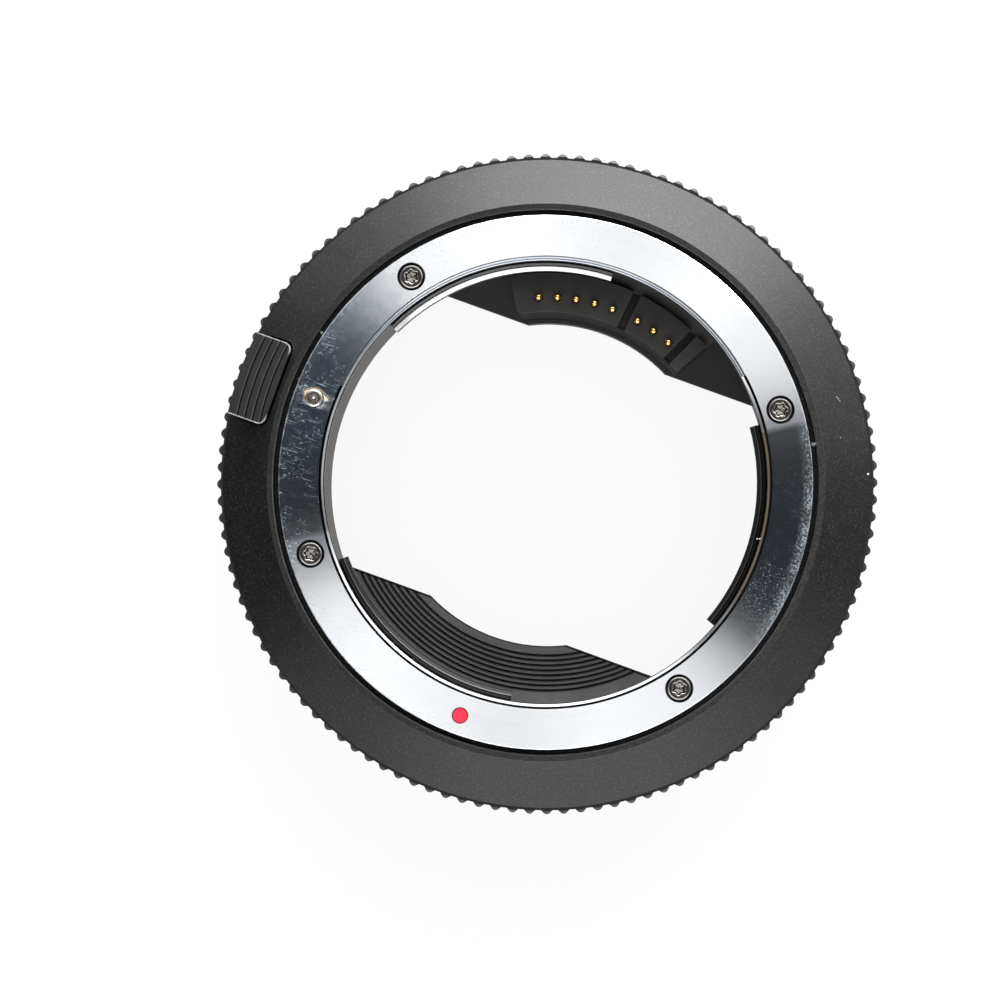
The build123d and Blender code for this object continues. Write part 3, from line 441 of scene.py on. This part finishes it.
def knurl_dress(f, tone):
    """Painted highlights on the ribs' end chamfers, cool on one flank and warm on the other."""
    phase = f.calc("MULTIPLY", f.calc("ADD", f.turn(), -RIB_TURN), 2.0 * math.pi / RIB_STEP)
    flank = remap(f.tree, f.calc("SINE", phase), -0.3, 0.3)
    edge = f.both(f.above(f.radius, RIB_EDGE_R), f.above(f.z, RIB_EDGE_Z, 0.05))
    # painted highlight on the ribs' end chamfers, cool and warm by flank
    chamfer_sheen = f.over(rgb(0.05, 0.06, 0.08), flank, rgb(0.13, 0.075, 0.04))
    return f.over(tone, f.part(edge, 0.3), chamfer_sheen)


def lining_dress(f, tone):
    """Lighter ribs on the light trap with painted shade between them, painted shade on the webs and their
    cut edges, a brown wall tone standing in for its sheen, with painted shadow along its top.
    """
    from_first = f.calc("SUBTRACT", f.radius, TRAP_RIB_R - TRAP_STEP / 2)
    step = f.calc("FRACT", f.calc("DIVIDE", from_first, TRAP_STEP))
    dot_side = f.above(f.y, WEB_SIDE_Y)
    ribbed = f.both(dot_side, f.span(f.radius, *TRAP_RIBS, 0.05), f.below(f.z, TRAP_TOP_Z))
    # painted shade between the ribs of the light trap
    trap_valley_shade = f.both(ribbed, f.span(step, 0.22, 0.78, 0.2))
    # painted shade: the webs on the contacts' side are darker
    web_shade = f.both(f.below(f.y, -WEB_SIDE_Y), f.below(f.radius, WEB_R))
    wall = f.above(f.radius, WALL_R)
    tone = f.over(tone, web_shade, rgb(0.029, 0.029, 0.0285))
    # painted shadow along the top of the wall, and a brown wall tone that stands in for its sheen
    top = f.both(wall, f.above(f.z, WALL_DARK_Z, 1.0))
    tone = f.over(tone, wall, rgb(0.08, 0.066, 0.055))
    tone = f.over(tone, top, rgb(0.01, 0.008, 0.006))
    tone = f.over(tone, trap_valley_shade, rgb(0.028, 0.028, 0.028))
    # cut edges painted dark, as shade
    cut = f.both(f.either(f.below(f.y, TRAP_CUT_Y), f.below(f.radius, TRAP_CUT_R)), dot_side)
    cut = f.either(cut, f.below(f.calc("ABSOLUTE", f.y), WEB_CUT_Y))
    cut = f.both(cut, f.below(f.radius, CUT_END_R))
    low_wall = f.part(f.both(wall, f.without(top)), 0.3)
    f.matt = f.calc("SUBTRACT", f.either(cut, top), low_wall)
    return f.over(tone, cut, rgb(0.008, 0.008, 0.0095))


def block_dress(f, tone):
    """Painted shade on the slots and the inner side under a lighter top, and an outer ledge painted
    lighter, as light.
    """
    # painted shade on the low parts and the slots; painted light on the outer ledge
    low = f.below(f.z, BLOCK_LOW_Z, 0.1)
    ledge = f.both(low, f.above(f.radius, BLOCK_SLOT[1]))
    f.matt = low
    slot = f.both(low, f.span(f.radius, *BLOCK_SLOT, 0.05))
    tone = f.over(tone, low, rgb(0.01, 0.01, 0.01))
    tone = f.over(tone, slot, rgb(0.024, 0.024, 0.023))
    return f.over(tone, ledge, rgb(0.068, 0.066, 0.063))


def plain_metal(name, color, rough):
    """Small metal part with a faint drawn grain."""
    f = Finish(name)
    grain = f.noise(6.0, 3.0)
    return f.shade(
        Base_Color=blend_color(f.tree, grain, color, darker(color, 0.8)),
        Metallic=1.0,
        Roughness=remap(f.tree, grain, 0.3, 0.7, rough - 0.04, rough + 0.06),
        Normal=f.bump(grain, 0.1, 0.02),
    )


def pin_top():
    """Polished lock pin: a thin bright edge round a dull, stained top, with a painted dark ring as shade
    and a painted highlight spot at its middle.
    """
    f = Finish("lock_pin_metal")
    off = f.apart(*LOCK_PIN)
    stain = f.noise(1.6, 3.0, 0.6)
    top = f.above(f.z, PIN_TOP_Z)
    inside = f.both(f.below(off, PIN_FACE_R, 0.03), top)
    dull = f.over(rgb(0.2, 0.2, 0.19), remap(f.tree, stain, 0.4, 0.6), rgb(0.1, 0.075, 0.055))
    # painted shade ring on the top
    dull = f.over(dull, f.span(off, *PIN_DARK_RING, 0.05), rgb(0.04, 0.04, 0.042))
    # painted highlight spot at the middle of the top
    spot = f.both(f.below(off, PIN_SPOT_R, 0.06), top)
    color = f.over(f.over(rgb(0.9, 0.88, 0.84), inside, dull), spot, rgb(0.95, 0.95, 0.93))
    return f.shade(
        Base_Color=color,
        Metallic=f.without(f.either(f.part(inside, 0.7), spot)),
        Roughness=remap(f.tree, stain, 0.3, 0.7, 0.14, 0.2),
        Normal=f.bump(stain, 0.1, 0.02),
    )


def paint(name, color, low_share=0.85, pit=None):
    """Gloss paint, a little uneven, and darker along the edge of a round pit given as x, y and radius."""
    f = Finish(name)
    cloud = f.noise(1.2, 2.0)
    tone = blend_color(f.tree, cloud, color, darker(color, low_share))
    if pit:
        x, y, size = pit
        edge = f.above(f.apart(x, y), size - 0.13, 0.05)
        tone = f.over(tone, edge, rgb(color[0] * 0.25, color[1] * 0.3, color[2] * 0.3))
    return f.shade(
        Base_Color=tone,
        Roughness=remap(f.tree, cloud, 0.3, 0.7, 0.25, 0.35),
        Normal=f.bump(cloud, 0.3, 0.1),
    )


def board_green():
    """Green circuit board with faint tracks under its lacquer."""
    f = Finish("circuit_board")
    tracks = remap(f.tree, f.turning(1.2, 3.0, 0.0), 0.5, 0.52)
    return f.shade(
        Base_Color=blend_color(f.tree, tracks, rgb(0.01, 0.09, 0.03), rgb(0.02, 0.14, 0.05)),
        Roughness=0.35,
        Normal=f.bump(tracks, 0.3, 0.03),
    )


# Places of features and marks on the piece, in mm
LOCK_PIN = (29.5, 0.0)
SCREW_SPREAD = math.radians(37.0)
SCREW_X = LOCK_PIN[0] * math.cos(SCREW_SPREAD)
SCREW_Y = LOCK_PIN[0] * math.sin(SCREW_SPREAD)
SCREW_TOP_Z = 22.8
SCREW_UNDER_Z = 22.05
SCREW_END_Z = 18.45
SCREW_TURNS = (0.2, 0.75, 0.45, 1.0)
STAR_LOBES = 6
RED_DOT = (0.0, 29.8, 0.975)

# Lens ring: radii of its lines from the rim inward, heights of its steps, turns in degrees
RIM_R = 31.98
RUBBED_BAND = (30.6, 31.9)
EDGE_MARKS = (28.5, 32.0)
SOWN_FROM_R = 27.4
MARKS_FROM_R = 27.3
CHAMFER_R = 27.26
LEAD_IN_LINES = ((27.08, 27.22), (26.8, 26.89))
LEAD_IN_DIM_R = 27.1
LAND_R = 26.97
BROWN_EDGE = (26.68, 26.96)
LIGHT_EDGE = (26.72, 26.92)
FOOT_R = 26.67
TAB_OUTER_R = 26.62
DEEP_R = 26.59
TAB_LINE_R = 26.44
TAB_BEVEL_LINE = (26.02, 26.15)
TAB_BEVEL_R = 26.06
TAB_GLINT = (25.92, 26.0)
TAB_INNER_R = 25.53
WELL_R = 1.73
WELL_Z = 22.985
RIM_Z = 22.9
NEAR_FACE_Z = 22.4
THROAT_Z = 21.9
DEEP_Z = 21.79
TAB_Z = 21.7
LEAD_IN_TURNS = (-132.0, -5.5)
# Turns where the lens ring's face is painted darker, as shade: across from the pin and at the pin
FAR_DARK_START = 166.0  # dark across from the pin from here, through 180,
FAR_DARK_TURN = -147.3  # to here, close to a screw,
FAR_DEEP_TURN = -156.0  # and deepest between here and there
NEAR_DARK_TURN = 32.7  # dark at the pin up to here, close to a screw,
NEAR_DEEP_TURN = 16.0  # and deepest between here and there
SOWN_TURN = 167.0  # sown with specks from here to 180
WEAVE = 16.5  # fine cross pattern, in radians per mm
PIN_TOP_Z = 24.0
PIN_FACE_R = 0.89
PIN_DARK_RING = (0.56, 0.72)
PIN_SPOT_R = 0.13

# Lip of the cone, lever, knurl, lining and contact block
LIP_EDGE = (32.73, 32.88)
LIP_EDGE_Z = 22.6
LIP = (32.8, 33.6)
LIP_Z = 22.4
LEVER_CORNER = (35.3, 4.2)
LEVER_CORNER_R = 0.87
LEVER_END_Y = 4.1
LEVER_FACE_Z = 20.5
LEVER_RIBS = (35.0, 38.7)
RIB_TURN = -0.93
RIB_STEP = 3.0
RIB_EDGE_R = 39.93
RIB_EDGE_Z = 16.08
TRAP_RIBS = (20.9, 25.7)
TRAP_RIB_R = 21.19
TRAP_STEP = 0.607
TRAP_TOP_Z = 14.0
TRAP_CUT_Y = 18.12
TRAP_CUT_R = 20.14
WEB_CUT_Y = 17.94
WEB_SIDE_Y = 2.0
WEB_R = 27.55
CUT_END_R = 27.5
WALL_R = 27.57
# painted shadow on the lining's wall above this height
WALL_DARK_Z = 17.5
BLOCK_LOW_Z = 17.55
BLOCK_SLOT = (21.3, 25.55)

# Small marks, each given as x, y and radius
TICK_MARKS = ((-26.25, -2.3, 0.1), (-26.5, -2.4, 0.08))
GROOVE_DUST = ((31.6, -7.8, 0.16), (-28.75, -15.3, 0.2), (-36.36, -14.38, 0.1))
ORANGE_DUST = ((32.3, -1.6, 0.12),)
CONE_MARKS = ((-29.5, -21.7, 0.09), (-29.75, -21.6, 0.1), (-30.0, -21.42, 0.08), (-31.56, -17.19, 0.09))
CONE_DARK_MARKS = ((-31.55, -20.6, 0.14), (-31.5, -20.85, 0.12))

# Finishes: colour, roughness, grain and specular level of the black ones
BLACK = rgb(0.010, 0.0103, 0.0108)
CONE_BLACK = rgb(0.006, 0.0062, 0.0066)
bright = lens_ring_metal()
rear_bright = chrome("rear_turned_metal")
shell_black = black_metal("black_anodised", CONE_BLACK, 0.46, 1.0, 0.31, shell_dress)
lever_black = black_metal("lever_black", rgb(0.016, 0.016, 0.0165), 0.5, 1.0, 0.3, lever_dress)
rear_black = black_metal("rear_black", BLACK, 0.46, 1.0, 0.28)
knurl_black = black_metal("knurl_black", rgb(0.014, 0.014, 0.015), 0.42, 0.6, 0.3, knurl_dress)
lining_black = black_metal("matt_black_lining", rgb(0.098, 0.098, 0.096), 0.62, 0.7, 0.3, lining_dress)
inner_black = black_metal("matt_black_plastic", rgb(0.026, 0.026, 0.0255), 0.6, 0.7, 0.25)
block_black = black_metal("contact_block_plastic", rgb(0.03, 0.029, 0.028), 0.55, 0.6, 0.15, block_dress)
screw_dark = plain_metal("dark_screw", rgb(0.28, 0.27, 0.27), 0.28)
screw_black = plain_metal("screw_black", rgb(0.1, 0.088, 0.08), 0.3)
# bright metal for the screws' rim and recess edge, a painted highlight
screw_edge_highlight = plain_metal("screw_edge_highlight", rgb(0.62, 0.6, 0.58), 0.35)
screw_floor = plain_metal("screw_floor", rgb(0.24, 0.22, 0.2), 0.3)
steel = plain_metal("spring_steel", rgb(0.6, 0.6, 0.61), 0.3)
pin_metal = pin_top()
gold = plain_metal("gold_plate", rgb(0.95, 0.62, 0.22), 0.18)
red = paint("red_paint", rgb(0.80, 0.035, 0.065), 0.8, RED_DOT)
white = paint("white_paint", rgb(0.8, 0.8, 0.79))
board = board_green()
chip_black = black_metal("chip_black", rgb(0.01, 0.01, 0.01), 0.5, 0.4, 0.5)
flex_brown = paint("flex_film", rgb(0.35, 0.13, 0.03))
band_grey = plain_metal("code_band_foil", rgb(0.3, 0.3, 0.31), 0.35)

FINISHES = {
    "lens_mount_ring": bright,
    "rear_mount": rear_bright,
    "front_shell": shell_black,
    "rear_body": rear_black,
    "release_lever": lever_black,
    "control_ring": knurl_black,
    "inner_barrel": lining_black,
    "lens_contact_block": block_black,
    "rear_shield": inner_black,
    "rear_contact_block": inner_black,
    "ring_sensor": chip_black,
    "controller_chip": chip_black,
    "lens_index_dot": red,
    "rear_index_dot": white,
    "lock_pin": pin_metal,
    "lens_ring_screws": screw_dark,
    "rear_mount_screws": screw_dark,
    "barrel_screws": screw_dark,
    "board_screws": screw_dark,
    "contact_block_screws": screw_dark,
    "circuit_board": board,
    "code_band": band_grey,
    "lens_flex": flex_brown,
    "camera_flex": flex_brown,
    "rear_contacts": gold,
}

for name, piece in nodes.items():
    if name in FINISHES:
        finish = FINISHES[name]
    elif name.startswith("contact_pin"):
        finish = gold
    else:
        finish = steel
    piece.data.materials.clear()
    piece.data.materials.append(finish)


def add(name, data):
    """New object in the scene."""
    made = bpy.data.objects.new(name, data)
    bpy.context.scene.collection.objects.link(made)
    return made


def add_mesh(name, source, *materials):
    """New object from a bmesh, which is freed."""
    mesh = bpy.data.meshes.new(name)
    source.to_mesh(mesh)
    source.free()
    for material in materials:
        mesh.materials.append(material)
    return add(name, mesh)


# Lens ring screws: domed heads with a six-lobed star recess, the rim and the recess edge bright as painted
# highlights

def star(lobe_r, valley_r, turn, count=72):
    """Points of a six-lobed star round the origin, its first lobe at this turn in radians."""
    middle = (lobe_r + valley_r) / 2
    swing = (lobe_r - valley_r) / 2
    points = []
    for i in range(count):
        a = 2 * math.pi * i / count
        wave = math.cos(STAR_LOBES * (a - turn))
        r = middle + swing * (0.8 * wave + 0.2 * wave * abs(wave))
        points.append((r * math.cos(a), r * math.sin(a)))
    return points


def loop(mesh, points, z, place):
    """Ring of vertices at this height, moved to a place."""
    return [mesh.verts.new(((x + place[0]) * MM, (y + place[1]) * MM, z * MM)) for x, y in points]


def skirt(mesh, lower, upper, slot):
    """Faces between two rings of equal count, facing out where lower is below or outside upper."""
    count = len(lower)
    for i in range(count):
        j = (i + 1) % count
        face = mesh.faces.new((lower[i], lower[j], upper[j], upper[i]))
        face.material_index = slot
        face.smooth = True


def star_screw(mesh, place, turn, count=72):
    """One screw: shank, underside, rim, crowned top and the walls and floor of its recess."""
    def ring(radius):
        angles = [2 * math.pi * i / count for i in range(count)]
        return [(radius * math.cos(a), radius * math.sin(a)) for a in angles]

    # Outline in mm, height, and place in the piece's list of materials
    rows = [
        (ring(0.80), SCREW_END_Z, 0),
        (ring(0.80), SCREW_UNDER_Z, 0),
        (ring(1.42), SCREW_UNDER_Z, 0),
        (ring(1.42), SCREW_TOP_Z - 0.16, 0),
        (ring(1.405), SCREW_TOP_Z - 0.11, 0),
        # rows in place 1 take the painted highlight of the rim
        (ring(1.37), SCREW_TOP_Z - 0.06, 1),
        (ring(1.26), SCREW_TOP_Z - 0.015, 1),
        (ring(1.14), SCREW_TOP_Z, 0),
        (star(0.93, 0.74, turn), SCREW_TOP_Z, 0),
        # rows in place 1 take the painted highlight of the recess edge
        (star(0.87, 0.68, turn), SCREW_TOP_Z - 0.035, 1),
        (star(0.85, 0.66, turn), SCREW_TOP_Z - 0.06, 1),
        (star(0.82, 0.63, turn), SCREW_TOP_Z - 0.50, 0),
        (star(0.60, 0.46, turn), SCREW_TOP_Z - 0.56, 0),
        (ring(0.12), SCREW_TOP_Z - 0.70, 2),
    ]
    rings = [loop(mesh, points, z, place) for points, z, _ in rows]
    for lower, upper, row in zip(rings, rings[1:], rows[1:]):
        skirt(mesh, lower, upper, row[2])
    mesh.faces.new(rings[0][::-1])
    mesh.faces.new(rings[-1])


def lens_screws():
    """The four screws as one piece in place of their plain solids."""
    made = bmesh.new()
    for k, (sign_x, sign_y) in enumerate(((1, 1), (-1, 1), (-1, -1), (1, -1))):
        star_screw(made, (sign_x * SCREW_X, sign_y * SCREW_Y), SCREW_TURNS[k])
    piece = add_mesh("lens_ring_screw_heads", made, screw_black, screw_edge_highlight, screw_floor)
    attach(piece, "body")
    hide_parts("lens_ring_screws")


lens_screws()


# Springs: round-wire coils in place of the plain ones

def coil_spring(stands_for, wire_mm, turns, around=24, sides=10):
    """Coil in the box of its node, held at its low end."""
    low, high = (Vector(corner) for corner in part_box(stands_for))
    wire = wire_mm * MM
    radius = (high.x - low.x) / 2 - wire
    foot = Vector(((low.x + high.x) / 2, (low.y + high.y) / 2, low.z + wire))
    rise = high.z - low.z - 2 * wire
    made = bmesh.new()
    rings = []
    for i in range(turns * around + 1):
        angle = 2 * math.pi * i / around
        outward = Vector((math.cos(angle), math.sin(angle), 0.0))
        forward = Vector((-outward.y, outward.x, rise / turns / (2 * math.pi * radius))).normalized()
        middle = foot + outward * radius + Vector((0.0, 0.0, rise * i / (turns * around)))
        across = forward.cross(outward)
        ring = []
        for k in range(sides):
            a = 2 * math.pi * k / sides
            ring.append(made.verts.new(middle + (outward * math.cos(a) + across * math.sin(a)) * wire))
        rings.append(ring)
    for first, second in zip(rings, rings[1:]):
        skirt(made, first, second, 0)
    made.faces.new(rings[0])
    made.faces.new(rings[-1])
    bmesh.ops.recalc_face_normals(made, faces=made.faces)
    piece = add_mesh(stands_for + "_wire", made, steel)
    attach(piece, "body")
    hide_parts(stands_for)
    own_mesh(piece)


# Node, wire radius and turns
coil_spring("lock_pin_spring", 0.15, 9)
coil_spring("detent_spring", 0.1, 4)
for n in range(1, 9):
    coil_spring(f"contact_spring_{n}", 0.1, 4)


# Floor, studio ceiling, world, lamps and cards, in metres

STUDIO_SIDE = 8.0
CEILING_Z = 0.9
WALL_REACH = 1.5
WALL_TOP = 0.85
CARD_NEAR = 0.05
CARD_Z = 0.0005
FLOOR_GLOW = 0.9
WORLD_FILL = 0.3


def staged(name, points, faces, material):
    """Mesh that belongs to the studio and not to the object."""
    mesh = bpy.data.meshes.new(name)
    mesh.from_pydata(points, [], faces)
    mesh.materials.append(material)
    made = add(name, mesh)
    return made


def plane(name, side, z, material):
    """Square face on the axis, seen from both sides."""
    half = side / 2
    corners = [(-half, -half, z), (half, -half, z), (half, half, z), (-half, half, z)]
    staged(name, corners, [(0, 1, 2, 3)], material)


def background_rays(tree):
    """1 for rays that should see the pale background: camera, mirror and see-through rays."""
    rays = node(tree, "ShaderNodeLightPath").outputs
    seen = calc(tree, "ADD", rays["Is Camera Ray"], rays["Is Glossy Ray"])
    return calc(tree, "ADD", seen, rays["Is Transmission Ray"], clamp=True)


def floor_paper():
    """Pale paper that stays near white and keeps a part of the object's shadow."""
    f = Finish("floor_paper")
    tooth = f.noise(0.6, 3.0)
    matt = node(f.tree, "ShaderNodeBsdfDiffuse", {"Color": rgb(0.86, 0.86, 0.855)})
    f.tree.links.new(f.bump(tooth, 0.05, 0.05), matt.inputs["Normal"])
    glow = node(f.tree, "ShaderNodeEmission", {"Color": rgb(1.0, 1.0, 1.0), "Strength": 1.0})
    share = calc(f.tree, "MULTIPLY", background_rays(f.tree), FLOOR_GLOW)
    mixed = node(f.tree, "ShaderNodeMixShader", {0: share, 1: matt.outputs[0], 2: glow.outputs[0]})
    node(f.tree, "ShaderNodeOutputMaterial", {0: mixed.outputs[0]})
    return f.material


def ceiling_dark():
    """Unlit studio ceiling, a dim blue grey."""
    f = Finish("studio_ceiling")
    cloud = f.noise(0.002, 2.0)
    tone = blend_color(f.tree, cloud, rgb(0.026, 0.034, 0.045), rgb(0.034, 0.041, 0.051))
    glow = node(f.tree, "ShaderNodeEmission", {"Color": tone, "Strength": 1.0})
    node(f.tree, "ShaderNodeOutputMaterial", {0: glow.outputs[0]})
    return f.material


studio_dark = ceiling_dark()
plane("floor", STUDIO_SIDE, 0.0, floor_paper())
plane("ceiling", STUDIO_SIDE, CEILING_Z, studio_dark)

world = bpy.data.worlds.new("studio")
bpy.context.scene.world = world
world.use_nodes = True
world.node_tree.nodes.clear()
seen = background_rays(world.node_tree)
level = remap(world.node_tree, seen, 0.0, 1.0, WORLD_FILL, 1.0)
shown = node(world.node_tree, "ShaderNodeBackground", {"Color": rgb(1, 1, 1), "Strength": level})
node(world.node_tree, "ShaderNodeOutputWorld", {0: shown.outputs[0]})


def toward(turn):
    """Level direction at a turn clockwise from picture up, in degrees."""
    a = math.radians(turn)
    return PICTURE_UP * math.cos(a) + PICTURE_RIGHT * math.sin(a)


def lamp(name, matrix, width, depth, radiance):
    """Rectangular area lamp of an even radiance, shining along its own -Z."""
    data = bpy.data.lights.new(name, "AREA")
    data.shape = "RECTANGLE"
    data.size = width
    data.size_y = depth
    data.energy = radiance * math.pi * width * depth
    made = add(name, data)
    made.matrix_world = matrix
    made.visible_camera = False


def overhead(name, turn, side, radiance, near=0.26, far=1.40, width=1.0, height=0.85):
    """Ceiling panel with one long edge on the radial line at this turn, on one side of it."""
    out = toward(turn)
    across = toward(turn + 90 * side)
    place = out * (near + far) / 2 + across * width / 2 + Vector((0, 0, height))
    turned = Matrix((out, Vector((0, 0, 1)).cross(out), Vector((0, 0, 1)))).transposed()
    lamp(name, Matrix.Translation(place) @ turned.to_4x4(), far - near, width, radiance)


def strip(name, turn, radiance, reach=1.2, height=0.17, width=1.6, depth=0.3):
    """Low lamp that looks at the adapter from the side."""
    place = toward(turn) * reach + Vector((0, 0, height))
    aim = Vector((0, 0, LENS_FACE_Z)) - place
    turned = aim.to_track_quat("-Z", "Y").to_matrix()
    lamp(name, Matrix.Translation(place) @ turned.to_4x4(), width, depth, radiance)


def dark_card(name, start, stop, low, high, steps=24):
    """Dark card bent round the adapter between two turns, for what dark metal mirrors.

    Low and high are the reach and height of its two edges. The camera skips it.
    """
    points = []
    for i in range(steps + 1):
        out = toward(start + (stop - start) * i / steps)
        points += [(out.x * reach, out.y * reach, z) for reach, z in (low, high)]
    faces = [(2 * i, 2 * i + 2, 2 * i + 3, 2 * i + 1) for i in range(steps)]
    made = staged(name, points, faces, studio_dark)
    made.visible_camera = False
    return made


def floor_card(name, start, stop):
    """Dark card lying on the floor at one side of the adapter, seen by mirror rays alone."""
    made = dark_card(name, start, stop, (WALL_REACH, CARD_Z), (CARD_NEAR, CARD_Z))
    made.visible_diffuse = False
    made.visible_shadow = False
    made.visible_transmission = False


# Turns are clockwise from picture up in degrees; a lamp's last number is its radiance
overhead("panel_top_right", 71, -1, 2.7)
overhead("panel_top_left", -39, 1, 2.7)
overhead("panel_bottom_right", 131, 1, 2.6)
overhead("panel_bottom_left", 249, -1, 2.6)
strip("strip_top", 14, 36.0)
strip("strip_bottom", 175, 6.0)
dark_card("dark_wall_left", 222, 320, (WALL_REACH, 0.0), (WALL_REACH, WALL_TOP))
floor_card("floor_card_left", 238, 305)
floor_card("floor_card_right", 84, 116)

# Camera
camera_data = bpy.data.cameras.new("camera")
camera_data.sensor_width = SENSOR_WIDTH
camera_data.lens = FOCAL_PIXELS * SENSOR_WIDTH / PICTURE_SIDE
camera = add("camera", camera_data)
bpy.context.scene.camera = camera
half = PICTURE_SIDE / 2
down = Vector((DOWN_PIXEL[0] - half, half - DOWN_PIXEL[1], -FOCAL_PIXELS)).normalized()
untilted = Matrix((PICTURE_RIGHT.normalized(), PICTURE_UP.normalized(), Vector((0, 0, 1)))).transposed()
tilt = down.rotation_difference(Vector((0, 0, -1))).to_matrix()
camera.matrix_world = Matrix.Translation(CAMERA_PLACE) @ (untilted @ tilt).to_4x4()
camera_data.clip_start = 0.01
camera_data.clip_end = 50.0

bpy.context.scene.view_settings.view_transform = "Standard"
